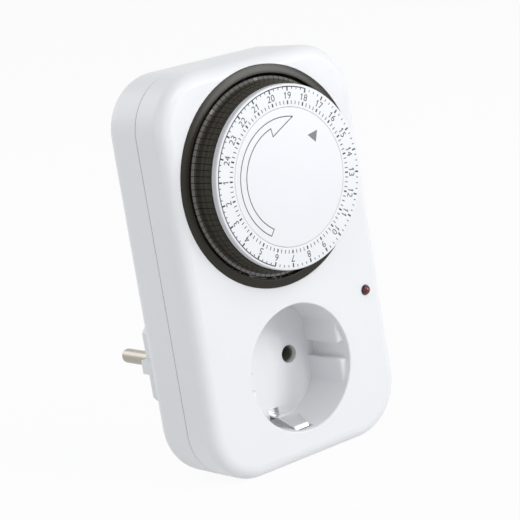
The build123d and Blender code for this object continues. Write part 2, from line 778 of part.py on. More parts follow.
def motor_pinion():
    """Output pinion of the motor on its shaft."""
    line = reduction_angle + 180.0
    teeth = gear_outline(pinion_teeth, train_module, meshing_angle(reduction_teeth, 0, line, pinion_teeth))
    near = reduction_wheel_near - fitting_gap
    far = reduction_wheel_far + fitting_gap
    pinion = slab(Pos(motor_pinion_x, motor_pinion_z) * teeth, near, far)
    shaft_far = plate_far + wall - loose_gap
    return pinion + rod(motor_pinion_x, motor_pinion_z, arbor_r, near - loose_gap, shaft_far)


# ---- switch ------------------------------------------------------------------------------------------
def lever_bracket():
    """Channel of sheet metal under the plate whose two ears hold the lever's pin."""
    low = lever_z - bracket_half_z
    high = lever_z + bracket_half_z
    outer_right = lever_right + loose_gap + bracket_thickness
    base_far = plate_far + bracket_thickness
    bracket = box(lever_x - bracket_start_offset, outer_right, plate_far, base_far, low, high)
    for left in (lever_left - loose_gap - bracket_thickness, lever_right + loose_gap):
        bracket += box(left, left + bracket_thickness, nose_depth + fitting_gap, base_far, low, high)
    bracket -= pin_along_x(lever_pivot_depth, lever_z, arbor_r + running_gap, plate_cut_x, outer_right + wall)
    return bracket - rod(bracket_rivet_x, lever_z, small_screw_r + running_gap, plate_near, plate_far + wall)


def bracket_rivet():
    """Rivet between the plate and the lever bracket."""
    far = plate_far + bracket_thickness
    profile = [(0, plate_near - rivet_head), (small_screw_head_r, plate_near - rivet_head),
               (small_screw_head_r, plate_near), (small_screw_r, plate_near), (small_screw_r, far),
               (small_screw_head_r, far), (small_screw_head_r, far + rivet_head), (0, far + rivet_head)]
    return turned(profile, bracket_rivet_x, lever_z)


def lever_pin():
    """Pivot pin of the switch lever."""
    half = lever_width / 2 + loose_gap + bracket_thickness + loose_gap
    return pin_along_x(lever_pivot_depth, lever_z, arbor_r, lever_x - half, lever_x + half)


def switch_lever():
    """Rocker under the segments' feet: its nose follows them and its lower arm carries a contact."""
    far = lever_near + lever_thickness
    bar = [(lever_near, dial_z - lever_bottom_drop), (far, dial_z - lever_bottom_drop),
           (far, dial_z + lever_top_rise), (lever_near, dial_z + lever_top_rise),
           (nose_depth, dial_z + lever_nose_half), (nose_depth, dial_z - lever_nose_half),
           (lever_near, dial_z - lever_top_rise)]
    lever = along_x(bar, lever_left, lever_right)
    lever += pin_along_x(lever_pivot_depth, lever_z, lever_boss_r, lever_left, lever_right)
    lever += box(lever_x, lever_right + lever_lug_reach, lever_near, lever_near + lever_lug_thickness,
                 lug_bottom, lug_top)
    return lever - pin_along_x(lever_pivot_depth, lever_z, arbor_r + running_gap,
                               lever_left - wall, lever_right + wall)


def moving_contact():
    """Contact blade on the lever's lower arm, with its silver tip."""
    top = lever_z - lever_boss_r - loose_gap
    blade = box(lever_x - blade_half, lever_x + blade_half, lever_near - blade_thickness, lever_near,
                contact_z - blade_half, top)
    return blade + rod(lever_x, contact_z, contact_r, moving_face, lever_near - blade_thickness)


def contact_sleeve(x):
    """Slit sleeve that grips a pin of the appliance's plug."""
    sleeve = tube(x, socket_z, sleeve_r, sleeve_bore_r, sleeve_near, sleeve_far)
    return sleeve - box(x - sleeve_slit / 2, x + sleeve_slit / 2, sleeve_near - wall, sleeve_far + wall,
                        socket_z, socket_z + 2 * sleeve_r)


def live_outlet():
    """Strip from an eye round the live sleeve to the fixed contact of the switch."""
    strip_depth = sleeve_near + 3 * strip_thickness
    eye_r = sleeve_r + fitting_gap
    turn_x = lever_x + blade_half + strip_bend_r
    arm_middle = fixed_arm_far - strip_thickness / 2
    path = [(pin_x + eye_r, strip_depth), (turn_x, strip_depth), (turn_x, arm_middle),
            (lever_x - blade_half, arm_middle)]
    strip = strip_along_z(path, strip_thickness, strip_bend_r, socket_z - sleeve_r, socket_z + sleeve_r)
    eye = tube(pin_x, socket_z, eye_r + strip_thickness, eye_r,
               strip_depth - 2 * strip_thickness, strip_depth + 2 * strip_thickness)
    arm = box(lever_x - blade_half, lever_x + blade_half, fixed_arm_far - strip_thickness, fixed_arm_far,
              socket_z, contact_z + blade_half)
    tip = rod(lever_x, contact_z, contact_r, fixed_arm_far - running_gap, fixed_face)
    strip -= rod(pin_x, socket_z, eye_r, sleeve_near, sleeve_far)
    return strip + eye + arm + tip


def neutral_link():
    """Strip that joins the neutral sleeve of the socket to the neutral plug pin."""
    end = pin_shoulder - strip_thickness / 2
    start = sleeve_far - sleeve_length / 3
    path = [(start, neutral_level), (end, neutral_level), (end, pin_flange_r)]
    strip = strip_along_x(path, strip_thickness, strip_bend_r, -pin_x - link_half, -pin_x + link_half)
    return strip - rod(-pin_x, 0, pin_rivet_r + running_gap, end - wall, end + wall)


def live_inlet():
    """Strip from the live plug pin up to the switch."""
    end = pin_shoulder - strip_thickness / 2
    rise = inner_back - wall
    path = [(end, -pin_flange_r), (end, live_level), (rise, live_level), (rise, plate_bottom_z)]
    strip = strip_along_x(path, strip_thickness, strip_bend_r, pin_x - link_half, pin_x + link_half)
    return strip - rod(pin_x, 0, pin_rivet_r + running_gap, end - wall, end + wall)


def plug_pin(x):
    """Plug pin: shaft, shank through the boss's face, flange behind the face and riveted end."""
    strip_near = pin_shoulder - strip_thickness - fitting_gap
    flange_far = plug_face - plug_face_wall
    shaft = rod(x, 0, pin_r, plug_face, plug_face + pin_length)
    pin = fillet(shaft.edges().group_by(Axis.Y)[-1], pin_tip_r)
    pin += rod(x, 0, pin_flange_r, flange_far - pin_flange_thickness, flange_far)
    pin += rod(x, 0, pin_shank_r, pin_shoulder, plug_face)
    pin += rod(x, 0, pin_rivet_r, strip_near - pin_rivet_r, pin_shoulder)
    return pin + rod(x, 0, pin_rivet_head_r, strip_near - pin_rivet_r, strip_near)


def pin_carrier():
    """Insulating plate inside the boss that backs the flanges of both pins."""
    far = plug_face - plug_face_wall - pin_flange_thickness
    plate = plug_outline(plug_wall + loose_gap)
    for side in (-1, 1):
        plate -= Pos(side * pin_x, 0) * Circle(pin_shank_r + running_gap)
    return slab(plate, pin_shoulder, far)


def contact_carrier():
    """Insulating block in the plinth with pockets for the sleeves, strips and earth arms."""
    block = Circle(plinth_inner_r - fitting_gap)
    for side in (-1, 1):
        block -= Pos(side * pin_x, socket_z) * Circle(sleeve_r + fitting_gap)
        arm_slot = Rectangle(2 * (earth_arm_half + loose_gap), 2 * (earth_arm_thickness + loose_gap))
        block -= Pos(0, side * (earth_floor + earth_arm_thickness)) * arm_slot
    for x, level in ((-pin_x, neutral_level), (pin_x, live_level)):
        block -= Pos(x, level) * Rectangle(2 * (link_half + loose_gap), strip_thickness + 2 * loose_gap)
    return slab(block, inner_back, plinth_floor - boss_flange_thickness)


def earth_clips():
    """Earth strip behind the recess whose two sprung ends reach into it through the slots."""
    base = sleeve_near + strip_thickness / 2
    half = [(earth_clip_front, recess_r + earth_clip_mouth_proud),
            (earth_clip_apex_depth, recess_r - earth_clip_apex_drop),
            (earth_clip_heel_depth, earth_clip_level), (base, earth_clip_level)]
    path = [(depth, socket_z + z) for depth, z in half]
    path += [(depth, socket_z - z) for depth, z in reversed(half)]
    strip = strip_along_x(path, strip_thickness, strip_bend_r, -earth_clip_half, earth_clip_half)
    tabs = strip_along_x(path, strip_thickness, strip_bend_r, -earth_tab_half, earth_tab_half)
    reach = 2 * recess_r
    strip += tabs & box(-reach, reach, 0, earth_tab_length, socket_z - reach, socket_z + reach)
    return strip - rod(0, 0, small_screw_r + running_gap, sleeve_near - wall, sleeve_near + wall)


def plug_earth_bracket():
    """Earth bracket whose arms lie in the channels at the top and bottom of the plug boss."""
    base = sleeve_near + strip_thickness + earth_arm_thickness / 2
    level = earth_floor + fitting_gap + earth_arm_thickness / 2
    end = plug_face - plug_boss_edge
    path = [(end, level), (base, level), (base, -level), (end, -level)]
    bracket = strip_along_x(path, earth_arm_thickness, strip_bend_r, -earth_arm_half, earth_arm_half)
    return bracket - rod(0, 0, small_screw_r + running_gap, sleeve_near - wall, sleeve_near + 2 * wall)


def earth_rivet():
    """Rivet that joins the two earth strips."""
    near = sleeve_near - running_gap
    far = sleeve_near + strip_thickness + earth_arm_thickness
    profile = [(0, near), (small_screw_r, near), (small_screw_r, far), (small_screw_head_r, far),
               (small_screw_head_r, far + rivet_head), (0, far + rivet_head)]
    return turned(profile, 0, 0)


def override_slide():
    """Slide behind the right side wall: a ribbed knob outside and an arm with a wedge inside."""
    outer = case_width / 2 - wall - loose_gap
    inner = outer - slide_thickness
    tip = case_width / 2 + knob_reach
    half = knob_height / 2
    plate = box(inner, outer, knob_depth - slide_front_reach, parting_depth - slide_parting_gap,
                knob_z - half - override_travel + slide_bottom_reach,
                knob_z + half + override_travel + slide_top_reach)
    knob = box(inner, tip, knob_depth - knob_depth_size / 2, knob_depth + knob_depth_size / 2,
               knob_z - half, knob_z + half)
    for step in (-1, 0, 1):
        middle = knob_z + step * half / 2
        knob -= box(tip - knob_rib_depth, tip + wall, knob_depth - knob_depth_size,
                    knob_depth + knob_depth_size, middle - knob_rib_half, middle + knob_rib_half)
    wedge_far = lever_near - loose_gap
    low = lever_z + bracket_half_z + wedge_bottom_gap
    high = lug_top - wedge_top_gap
    wedge = [(wedge_near, low), (wedge_far + wedge_slope * (lug_bottom - low), low),
             (wedge_far - wedge_slope * (high - lug_bottom), high), (wedge_near, high)]
    return plate + knob + along_x(wedge, lever_right + wedge_side_gap, inner + slide_thickness / 2)


# ---- lamp --------------------------------------------------------------------------------------------
def indicator_lens():
    """Domed lens with a flange behind the front wall."""
    lens = rod(lamp_x, lamp_z, lens_r, -lens_rise, lens_far)
    lens = fillet(lens.edges().group_by(Axis.Y)[0], 0.8 * lens_rise)
    return lens + rod(lamp_x, lamp_z, lens_flange_r, lens_far - lens_flange_thickness, lens_far)


def neon_lamp():
    """Neon bulb behind the lens with its two leads."""
    bulb_far = lamp_near + lamp_length
    bulb = rod(lamp_x, lamp_z, lamp_r, lamp_near, bulb_far)
    bulb = fillet(bulb.edges().group_by(Axis.Y)[0], 0.7 * lamp_r)
    for side in (-1, 1):
        bulb += rod(lamp_x + side * lamp_r / 2, lamp_z, lead_r, bulb_far - lead_r, bulb_far + lead_length)
    return bulb


def lamp_resistor():
    """Series resistor of the neon lamp, hanging on its own wire beside the recess."""
    depth = lamp_near + lamp_length + lead_length + lead_r
    across = Plane(origin=(lamp_x + lamp_r / 2, front_y + depth, lamp_z + lead_r), x_dir=(1, 0, 0),
                   z_dir=(0, 0, -1))
    wire = extrude(across * Circle(lead_r), amount=resistor_wire_length)
    return wire + extrude(across.offset(resistor_drop) * Circle(resistor_r), amount=resistor_length)


# ---- parts -------------------------------------------------------------------------------------------
def solids_of(shape):
    """The solids of one piece or of a list of equal pieces."""
    pieces = shape if isinstance(shape, (list, tuple)) else [shape]
    return [solid for piece in pieces for solid in piece.solids()]


parts = {
    "front_cover": front_cover(),
    "socket_floor": socket_floor(),
    "rear_cover": rear_cover(),
    "plug_plinth": plug_plinth(),
    "plug_boss": plug_boss(),
    "cover_screws": cover_screws(),
    "dial_collar": dial_collar(),
    "dial_wheel": dial_wheel(),
    "scale_ring": scale_ring(),
    "segments_night": segment_group(0),
    "segments_morning": segment_group(1),
    "segments_afternoon": segment_group(2),
    "segments_evening": segment_group(3),
    "centre_disc": centre_disc(),
    "dial_hub": dial_hub(),
    "hub_clip": hub_clip(),
    "mechanism_plate": mechanism_plate(),
    "plate_screws": plate_screws(),
    "reduction_gear": reduction_gear(),
    "gear_arbor": gear_arbor(),
    "motor_can": motor_can(),
    "motor_screws": motor_screws(),
    "motor_pinion": motor_pinion(),
    "lever_bracket": lever_bracket(),
    "bracket_rivet": bracket_rivet(),
    "lever_pin": lever_pin(),
    "switch_lever": switch_lever(),
    "moving_contact": moving_contact(),
    "live_sleeve": contact_sleeve(pin_x),
    "live_outlet": live_outlet(),
    "live_inlet": live_inlet(),
    "neutral_sleeve": contact_sleeve(-pin_x),
    "neutral_link": neutral_link(),
    "plug_pin_left": plug_pin(-pin_x),
    "plug_pin_right": plug_pin(pin_x),
    "pin_carrier": pin_carrier(),
    "contact_carrier": contact_carrier(),
    "earth_clips": earth_clips(),
    "plug_earth_bracket": plug_earth_bracket(),
    "earth_rivet": earth_rivet(),
    "override_slide": override_slide(),
    "indicator_lens": indicator_lens(),
    "neon_lamp": neon_lamp(),
    "lamp_resistor": lamp_resistor(),
}

os.makedirs("parts", exist_ok=True)
for name, shape in parts.items():
    export_step(Compound(children=solids_of(shape)), f"parts/{name}.step")
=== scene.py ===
from math import atan2, cos, degrees, hypot, pi, radians, sin

import bmesh
import bpy
from mathutils import Matrix, Vector


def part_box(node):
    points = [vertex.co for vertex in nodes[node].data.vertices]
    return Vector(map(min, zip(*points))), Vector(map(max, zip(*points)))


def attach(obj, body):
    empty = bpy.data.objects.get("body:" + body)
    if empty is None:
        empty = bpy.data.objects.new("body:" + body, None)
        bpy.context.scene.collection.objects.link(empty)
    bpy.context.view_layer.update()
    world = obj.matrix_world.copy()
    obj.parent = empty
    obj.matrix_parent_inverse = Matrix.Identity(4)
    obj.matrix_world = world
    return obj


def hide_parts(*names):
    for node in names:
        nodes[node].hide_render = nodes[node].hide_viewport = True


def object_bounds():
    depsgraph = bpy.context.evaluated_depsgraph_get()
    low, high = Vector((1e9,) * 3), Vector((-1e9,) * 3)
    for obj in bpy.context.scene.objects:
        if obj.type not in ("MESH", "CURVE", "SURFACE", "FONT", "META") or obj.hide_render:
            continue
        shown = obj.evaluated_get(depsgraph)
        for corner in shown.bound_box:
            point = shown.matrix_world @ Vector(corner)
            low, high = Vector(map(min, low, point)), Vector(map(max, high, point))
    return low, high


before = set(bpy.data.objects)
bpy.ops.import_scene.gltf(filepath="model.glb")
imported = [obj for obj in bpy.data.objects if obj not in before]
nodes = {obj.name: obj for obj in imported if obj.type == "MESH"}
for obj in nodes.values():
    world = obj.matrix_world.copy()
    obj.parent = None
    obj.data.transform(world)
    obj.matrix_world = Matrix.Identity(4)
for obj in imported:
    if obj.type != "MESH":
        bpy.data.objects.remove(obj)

cad_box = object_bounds()
scene = bpy.context.scene
mm = 0.001


# ---- camera and studio -------------------------------------------------------------------------------
# A long lens looks at the front from the left and a little above. The timer stands on a white table in
# white surroundings, lit by soft lamps in front and weaker ones at the left and behind.
eye = Vector((-377.148, -541.572, 158.542)) * mm
ahead = Vector((0.59665, 0.77810, -0.19637))
rightward = Vector((0.76355, -0.62574, -0.15948))
upward = rightward.cross(ahead)

lens = bpy.data.cameras.new("camera")
lens.sensor_width = 36.0
lens.lens = 141.98
lens.clip_end = 20.0
camera = bpy.data.objects.new("camera", lens)
turn = Matrix((rightward, upward, -ahead)).transposed().to_4x4()
camera.matrix_world = Matrix.Translation(eye) @ turn
scene.collection.objects.link(camera)
scene.camera = camera
scene.view_settings.view_transform = "Standard"


class Wire:
    """A value on its way through a material: arithmetic on it adds the Math nodes."""

    def __init__(self, finish, socket):
        self.finish = finish
        self.socket = socket

    def math(self, operation, *values):
        numbered = dict(enumerate(values))
        return self.finish.node("ShaderNodeMath", {"operation": operation}, numbered)["Value"]

    def __add__(self, other):
        return self.math("ADD", self, other)

    def __sub__(self, other):
        return self.math("SUBTRACT", self, other)

    def __rsub__(self, other):
        return self.math("SUBTRACT", other, self)

    def __mul__(self, other):
        return self.math("MULTIPLY", self, other)

    def __truediv__(self, other):
        return self.math("DIVIDE", self, other)

    def __lt__(self, other):
        return self.math("LESS_THAN", self, other)

    def __gt__(self, other):
        return self.math("GREATER_THAN", self, other)

    __radd__ = __add__
    __rmul__ = __mul__


class Finish:
    """A surface finish and its shader nodes."""

    def __init__(self, name, block=None):
        self.block = block or bpy.data.materials.new(name)
        self.block.use_nodes = True
        self.tree = self.block.node_tree
        self.tree.nodes.clear()

    def node(self, kind, settings=None, inputs=None):
        """Adds a node: its settings first, then the values or wires of its inputs. Gives its outputs."""
        made = self.tree.nodes.new(kind)
        for key, value in (settings or {}).items():
            setattr(made, key, value)
        by_name = {socket.identifier: socket for socket in made.inputs}
        for key, value in (inputs or {}).items():
            socket = made.inputs[key] if isinstance(key, int) else by_name[key]
            if isinstance(value, Wire):
                self.tree.links.new(value.socket, socket)
            else:
                socket.default_value = value
        return {socket.identifier: Wire(self, socket) for socket in made.outputs}

    def position(self):
        """Place on the object, in metres."""
        return self.node("ShaderNodeTexCoord")["Object"]

    def axes(self):
        """The three parts of the place on the object."""
        parts = self.node("ShaderNodeSeparateXYZ", inputs={0: self.position()})
        return parts["X"], parts["Y"], parts["Z"]

    def grain(self, size, detail=2.0, stretch=(1.0, 1.0, 1.0)):
        """Noise with features of that size in metres, stretched along the axes, from 0 to 1."""
        shrink = tuple(1.0 / factor for factor in stretch)
        place = self.node("ShaderNodeMapping", {"vector_type": "POINT"},
                          {"Vector": self.position(), "Scale": shrink})["Vector"]
        inputs = {"Vector": place, "Scale": 1.0 / size, "Detail": detail}
        return self.node("ShaderNodeTexNoise", {"noise_dimensions": "3D"}, inputs)["Fac"]

    def blend(self, factor, first, second):
        """Colour between two colours."""
        inputs = {"Factor_Float": factor, "A_Color": first, "B_Color": second}
        return self.node("ShaderNodeMix", {"data_type": "RGBA"}, inputs)["Result_Color"]

    def bump(self, height, distance, strength=1.0):
        """Normal of a surface with that height."""
        inputs = {"Height": height, "Distance": distance, "Strength": strength}
        return self.node("ShaderNodeBump", None, inputs)["Normal"]

    def surface(self, **inputs):
        """Ends the material in one shader with these inputs."""
        by_name = {key.replace("_", " "): value for key, value in inputs.items()}
        shader = self.node("ShaderNodeBsdfPrincipled", None, by_name)["BSDF"]
        self.node("ShaderNodeOutputMaterial", None, {"Surface": shader})

    def seen(self):
        """1 where the camera, a gloss or a glass looks at it, and 0 for the light that it gives."""
        ray = self.node("ShaderNodeLightPath")
        seen = ray["Is Camera Ray"] + ray["Is Glossy Ray"] + ray["Is Transmission Ray"]
        return seen > 0.5


# The camera sees the table and the surroundings as white, and the light that they give stays dim.
table_glow = 0.94
table_white = Finish("table_white")
matt = table_white.node("ShaderNodeBsdfDiffuse", None, {"Color": (0.82, 0.82, 0.82, 1)})["BSDF"]
glow = table_white.node("ShaderNodeEmission", None, {"Color": (1, 1, 1, 1), "Strength": 1.0})["Emission"]
glow_share = table_white.seen() * table_glow
top = table_white.node("ShaderNodeMixShader", None, {0: glow_share, 1: matt, 2: glow})["Shader"]
table_white.node("ShaderNodeOutputMaterial", None, {"Surface": top})

table_half = 8.0
table_gap = 0.05 * mm
table_shape = bmesh.new()
bmesh.ops.create_grid(table_shape, x_segments=2, y_segments=2, size=table_half)
bmesh.ops.translate(table_shape, verts=table_shape.verts, vec=(0.0, 0.0, cad_box[0].z - table_gap))
table_mesh = bpy.data.meshes.new("table")
table_shape.to_mesh(table_mesh)
table_shape.free()
table_mesh.materials.append(table_white.block)
table = bpy.data.objects.new("table", table_mesh)
scene.collection.objects.link(table)

scene.world = bpy.data.worlds.new("surroundings")
sky = Finish("surroundings", scene.world)
dim_light = {"Color": (0.93, 0.96, 1.0, 1), "Strength": 0.50}
dim = sky.node("ShaderNodeBackground", None, dim_light)["Background"]
white_light = {"Color": (1, 1, 1, 1), "Strength": 1.0}
white = sky.node("ShaderNodeBackground", None, white_light)["Background"]
all_round = sky.node("ShaderNodeMixShader", None, {0: sky.seen(), 1: dim, 2: white})["Shader"]
sky.node("ShaderNodeOutputWorld", None, {"Surface": all_round})

lit_point = Vector((0.0, -45.0, 35.0)) * mm
for name, place, width, power in (
    ("lamp_front_right", (0.75, -0.85, 0.78), 0.6, 1.65),
    ("lamp_front", (0.14, -1.25, 0.92), 0.5, 5.4),
    ("lamp_front_low", (0.98, -1.33, 0.20), 0.5, 7.9),
    ("lamp_left", (-1.10, -0.10, 0.45), 0.8, 2.1),
    ("lamp_behind", (-0.40, 1.00, 0.70), 0.8, 2.5),
):
    panel = bpy.data.lights.new(name, "AREA")
    panel.shape = "SQUARE"
    panel.size = width
    panel.energy = power
    lamp = bpy.data.objects.new(name, panel)
    lamp.location = place
    lamp.rotation_euler = (lit_point - Vector(place)).to_track_quat("-Z", "Y").to_euler()
    scene.collection.objects.link(lamp)


# ---- case covers -------------------------------------------------------------------------------------
# Two white shells moulded in a heat-proof plastic, joined on a fine parting line. The recess floor, the
# round plinth and the plug boss at the back are mouldings of the same plastic. Depths run from front_y.
front_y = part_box("front_cover")[0].y
socket_low, socket_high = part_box("socket_floor")
socket_z = (socket_low.z + socket_high.z) / 2
parting_depth = 12.6
joint_half = 0.13
joint_tint = 0.8
clear_of_recess = 22.0

case_white = Finish("case_white")
cloud = case_white.grain(22 * mm)
orange_peel = case_white.grain(0.9 * mm, 1.0)
across, deep, above = case_white.axes()
from_joint = deep - (front_y + parting_depth * mm)
from_socket = across * across + (above - socket_z) * (above - socket_z)
# The joint's line is dark but for the recess, which is moulded in one with the front.
on_joint = from_joint * from_joint < (joint_half * mm) ** 2
joint = on_joint * (from_socket > (clear_of_recess * mm) ** 2) * joint_tint
shell = case_white.blend(cloud, (0.804, 0.812, 0.826, 1), (0.830, 0.836, 0.847, 1))
case_white.surface(
    Base_Color=case_white.blend(joint, shell, (0.20, 0.20, 0.21, 1)),
    Roughness=0.30 + cloud * 0.06 + orange_peel * 0.04,
    Normal=case_white.bump(orange_peel, 0.010 * mm, 0.35))


def paint(finish, *names):
    """Gives CAD nodes one finish."""
    for name in names:
        slots = nodes[name].data.materials
        slots.clear()
        slots.append(finish.block)


paint(case_white, "front_cover", "rear_cover", "plug_plinth", "plug_boss", "socket_floor")


# ---- screws ------------------------------------------------------------------------------------------
# Zinc-plated steel screws with cross slots: four hold the covers together from behind, three the
# mechanism plate and two the motor.
zinc_screw = Finish("zinc_screw")
plating = zinc_screw.grain(0.8 * mm, 3.0)
zinc_screw.surface(
    Base_Color=zinc_screw.blend(plating, (0.50, 0.52, 0.55, 1), (0.68, 0.69, 0.70, 1)), Metallic=1.0,
    Roughness=0.24 + plating * 0.16, Normal=zinc_screw.bump(plating, 0.01 * mm, 0.5))
paint(zinc_screw, "cover_screws", "plate_screws", "motor_screws")


# ---- plug pins and earth strips ----------------------------------------------------------------------
# Nickel-plated brass: two turned pins with fine turning marks round them, and the bracket whose arms lie
# in the boss's channels.
pin_nickel = Finish("pin_nickel")
turning = pin_nickel.grain(0.25 * mm, 2.0, (12.0, 1.0, 12.0))
tarnish = pin_nickel.grain(4.0 * mm, 3.0)
pin_nickel.surface(
    Base_Color=pin_nickel.blend(tarnish, (0.35, 0.325, 0.285, 1), (0.46, 0.435, 0.39, 1)), Metallic=1.0,
    Roughness=0.24 + tarnish * 0.10 + turning * 0.06, Normal=pin_nickel.bump(turning, 0.006 * mm, 0.5))
paint(pin_nickel, "plug_pin_left", "plug_pin_right", "plug_earth_bracket")


# ---- contacts and strips -----------------------------------------------------------------------------
# Live and neutral parts stamped from brass strip: their links, the inlet from the plug pin and the moving
# contact. The two socket sleeves are dull tin, and their colour is also painted darker as the shade inside
# the entries.
contact_brass = Finish("contact_brass")
rolled = contact_brass.grain(0.6 * mm, 2.0, (1.0, 1.0, 14.0))
contact_brass.surface(
    Base_Color=contact_brass.blend(rolled, (0.70, 0.47, 0.19, 1), (0.80, 0.58, 0.27, 1)), Metallic=1.0,
    Roughness=0.24 + rolled * 0.14, Normal=contact_brass.bump(rolled, 0.006 * mm, 0.4))
paint(contact_brass, "live_outlet", "live_inlet", "neutral_link", "moving_contact")

tin_with_painted_shade = Finish("tin_with_painted_shade")
bloom = tin_with_painted_shade.grain(1.2 * mm, 3.0)
# Painted shade: the tin is painted dark grey for the shade inside the socket's entries, with random bloom.
tin_with_painted_shade.surface(
    Base_Color=tin_with_painted_shade.blend(bloom, (0.22, 0.23, 0.20, 1), (0.32, 0.33, 0.29, 1)), Metallic=0.5,
    Roughness=0.42 + bloom * 0.14)
paint(tin_with_painted_shade, "live_sleeve", "neutral_sleeve")


# ---- turned brass ------------------------------------------------------------------------------------
# Small turned brass pieces: the dial's hub, the motor's pinion and the rivets of the lever bracket and
# the earth strips.
turned_brass = Finish("turned_brass")
ridges = turned_brass.grain(0.2 * mm, 1.0, (10.0, 1.0, 10.0))
turned_brass.surface(
    Base_Color=turned_brass.blend(ridges, (0.74, 0.50, 0.17, 1), (0.83, 0.62, 0.27, 1)), Metallic=1.0,
    Roughness=0.18 + ridges * 0.12, Normal=turned_brass.bump(ridges, 0.006 * mm, 0.5))
paint(turned_brass, "dial_hub", "motor_pinion", "bracket_rivet", "earth_rivet")


# ---- insulating blocks -------------------------------------------------------------------------------
# Two natural polyamide mouldings, slightly mottled. One holds the plug pins in the boss, and the other
# holds the contact sleeves behind the socket's entries.
carrier_plastic = Finish("carrier_plastic")
mottle = carrier_plastic.grain(3.0 * mm, 3.0)
carrier_plastic.surface(
    Base_Color=carrier_plastic.blend(mottle, (0.62, 0.59, 0.52, 1), (0.70, 0.68, 0.61, 1)),
    Roughness=0.45 + mottle * 0.12, Normal=carrier_plastic.bump(mottle, 0.02 * mm, 0.3))
paint(carrier_plastic, "pin_carrier", "contact_carrier")


# ---- mechanism plate and motor -----------------------------------------------------------------------
# Stamped from zinc-plated steel sheet with a rolling grain: the plate on its posts, the drawn motor can
# behind it and the bracket that carries the switch lever.
steel_plate = Finish("steel_plate")
sheet_grain = steel_plate.grain(0.5 * mm, 3.0, (1.0, 1.0, 20.0))
spangle = steel_plate.grain(5.0 * mm, 1.0)
steel_plate.surface(
    Base_Color=steel_plate.blend(spangle, (0.47, 0.48, 0.50, 1), (0.60, 0.61, 0.62, 1)), Metallic=1.0,
    Roughness=0.28 + sheet_grain * 0.14, Normal=steel_plate.bump(sheet_grain, 0.008 * mm, 0.5))
paint(steel_plate, "mechanism_plate", "motor_can", "lever_bracket")


# ---- hardened pins -----------------------------------------------------------------------------------
# Bright hardened steel: the gear's arbor, the lever's pin and the sprung clip that keeps the dial on
# its hub.
spring_steel = Finish("spring_steel")
temper = spring_steel.grain(2.0 * mm, 2.0)
spring_steel.surface(
    Base_Color=spring_steel.blend(temper, (0.36, 0.37, 0.40, 1), (0.50, 0.50, 0.52, 1)), Metallic=1.0,
    Roughness=0.18 + temper * 0.10)
paint(spring_steel, "gear_arbor", "lever_pin", "hub_clip")


# ---- gear and switch lever ---------------------------------------------------------------------------
# Natural acetal mouldings: the compound gear of the train, which turns on its arbor, and the lever, which
# rocks on its pin and presses the moving contact.
gear_plastic = Finish("gear_plastic")
flow = gear_plastic.grain(6.0 * mm, 2.0)
gear_plastic.surface(
    Base_Color=gear_plastic.blend(flow, (0.72, 0.70, 0.62, 1), (0.79, 0.77, 0.70, 1)),
    Roughness=0.38 + flow * 0.10, Subsurface_Weight=0.05)
paint(gear_plastic, "reduction_gear", "switch_lever")


# ---- neon lamp and resistor --------------------------------------------------------------------------
# A small glass bulb behind the lens, and its series resistor: a lacquered rod with three colour bands.
# Both sit inside the front cover.
lamp_glass = Finish("lamp_glass")
draw_marks = lamp_glass.grain(1.5 * mm, 1.0, (1.0, 6.0, 1.0))
lamp_glass.surface(
    Base_Color=lamp_glass.blend(draw_marks, (0.90, 0.87, 0.82, 1), (0.96, 0.94, 0.91, 1)),
    Roughness=0.04 + draw_marks * 0.05, Transmission_Weight=0.8, IOR=1.47)
paint(lamp_glass, "neon_lamp")

resistor_body = Finish("resistor_body")
resistor_low, resistor_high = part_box("lamp_resistor")
height = (resistor_body.axes()[2] - resistor_low.z) / (resistor_high.z - resistor_low.z)
resistor_colour = (0.62, 0.50, 0.30, 1)
band_half = 0.02
for band_middle, band_colour in ((0.46, (0.30, 0.08, 0.03, 1)), (0.55, (0.45, 0.05, 0.04, 1)),
                                 (0.64, (0.75, 0.55, 0.06, 1))):
    in_band = (height > band_middle - band_half) * (height < band_middle + band_half)
    resistor_colour = resistor_body.blend(in_band, resistor_colour, band_colour)
lacquer = resistor_body.grain(1.0 * mm, 2.0)
resistor_body.surface(Base_Color=resistor_colour, Roughness=0.32 + lacquer * 0.12)
paint(resistor_body, "lamp_resistor")


# ---- dial collar -------------------------------------------------------------------------------------
# A ring moulded in brown-black plastic and pressed into the dial opening. Its flange lies round the
# opening and slopes up to a rounded inner rim.
collar_low, collar_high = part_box("dial_collar")
dial_z = (collar_low.z + collar_high.z) / 2
collar_r = (collar_high.x - collar_low.x) / 2 / mm
flange_width = 2.8
flange_overhang = 1.4
flange_back = 0.8
flange_edge = [(0.35, 0.0), (0.1, 0.04), (0.0, 0.16)]
collar_bore_r = collar_r - flange_width
collar_sleeve_r = collar_r - flange_overhang
collar_back = 3.6
collar_crest = -0.6
collar_foot = -0.1
collar_rim_r = 0.3

dial_black = Finish("dial_black")
smudge = dial_black.grain(9 * mm, 3.0)
moulding = dial_black.grain(0.5 * mm, 1.0)
dial_black.surface(
    Base_Color=dial_black.blend(smudge, (0.025, 0.0215, 0.015, 1), (0.034, 0.0295, 0.0215, 1)),
    Roughness=0.21 + smudge * 0.08, Specular_IOR_Level=0.22,
    Normal=dial_black.bump(moulding, 0.008 * mm, 0.4))


def put(name, mesh, finish, body, slot, *replaced, smooth=30.0):
    """Makes a finished piece of a bmesh: smooth but for edges over the angle, and riding on a body."""
    for face in mesh.faces:
        face.smooth = True
    for edge in mesh.edges:
        edge.smooth = len(edge.link_faces) != 2 or edge.calc_face_angle(pi) < radians(smooth)
    data = bpy.data.meshes.new(name)
    mesh.to_mesh(data)
    mesh.free()
    data.materials.append(finish.block)
    piece = bpy.data.objects.new(name, data)
    scene.collection.objects.link(piece)
    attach(piece, body)
    if replaced:
        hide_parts(*replaced)


